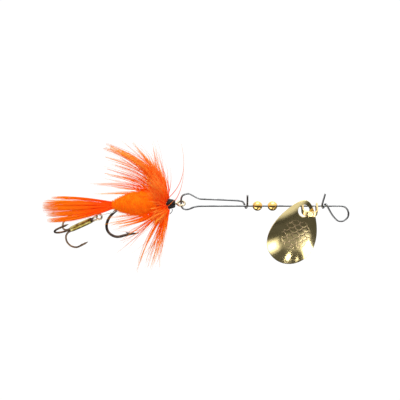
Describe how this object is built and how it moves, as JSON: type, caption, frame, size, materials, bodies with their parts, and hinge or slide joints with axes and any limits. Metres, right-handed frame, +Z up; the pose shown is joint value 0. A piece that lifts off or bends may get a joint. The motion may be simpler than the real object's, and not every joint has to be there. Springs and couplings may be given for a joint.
{
  "type": "inline spinner",
  "caption": "Inline spinner lure: a wire shaft with beads, a folded clevis and a domed gold blade, and a feathered hook that trails a treble hook.",
  "frame": {"origin": "middle of the front line eye, where the line is tied", "axes": "+X forward along the shaft towards the line eye, +Z up, -Y the near side that the blade's crowned face looks to"},
  "size_m": [0.0796, 0.0196, 0.0342],
  "materials": {
    "steel_wire": "smooth spring steel wire, satin grey",
    "bead_brass": "polished pale brass",
    "clevis_brass": "polished brass strip",
    "blade_gold": "mirror gold plate with faint spun rings and a stamped scale pattern",
    "hook_bronze": "dark bronzed hook wire",
    "thread_black": "black waxed tying thread",
    "body_dubbing_orange": "fuzzy fluorescent orange dubbing",
    "hackle_orange": "fluorescent flame orange feather fibres",
    "tail_orange": "long fluorescent orange tail fibres",
    "link_mono": "clear nylon monofilament",
    "treble_bronze": "bronzed treble wire",
    "treble_braze": "coppery braze along the three shanks"
  },
  "bodies": {
    "shaft": {"shaft_wire": "steel_wire"},
    "rear_bead": {"rear_bead": "bead_brass"},
    "front_bead": {"front_bead": "bead_brass"},
    "clevis": {"clevis": "clevis_brass"},
    "blade": {"blade": "blade_gold"},
    "fly": {"fly_hook": "hook_bronze", "shank_thread": "thread_black", "thread_head": "thread_black", "thread_tag": "thread_black", "body_dubbing": "body_dubbing_orange", "hackle_wraps": "hackle_orange", "hackle_collar": "hackle_orange", "tail_top_strand": "tail_orange", "tail_main_bundle": "tail_orange", "tail_lower_strand": "tail_orange", "tail_bottom_strand": "tail_orange", "stinger_link": "link_mono"},
    "treble": {"treble_pair": "treble_bronze", "treble_third": "treble_bronze", "treble_braze": "treble_braze"}
  },
  "joints": [
    {"name": "clevis_spin", "type": "hinge", "parent": "shaft", "child": "clevis", "pos_m": [-0.0082, 0, 0.002], "axis": [1, 0, 0], "continuous": true},
    {"name": "blade_swing", "type": "hinge", "parent": "clevis", "child": "blade", "pos_m": [-0.00975, -0.00215, 0.00075], "axis": [-0.24, 0.97, 0.04], "range_deg": [-10, 38]},
    {"name": "rear_bead_slide", "type": "slide", "parent": "shaft", "child": "rear_bead", "axis": [1, 0, 0], "range_m": [-0.0007, 0.0006]},
    {"name": "front_bead_slide", "type": "slide", "parent": "shaft", "child": "front_bead", "axis": [1, 0, 0], "range_m": [-0.0006, 0.003]},
    {"name": "fly_swing", "type": "hinge", "parent": "shaft", "child": "fly", "pos_m": [-0.04155, 0, 0.00265], "axis": [0, 0, 1], "range_deg": [-60, 60]},
    {"name": "treble_swing", "type": "hinge", "parent": "fly", "child": "treble", "pos_m": [-0.0622, 0, -0.0005], "axis": [0, 0, 1], "range_deg": [-60, 20]}
  ]
}
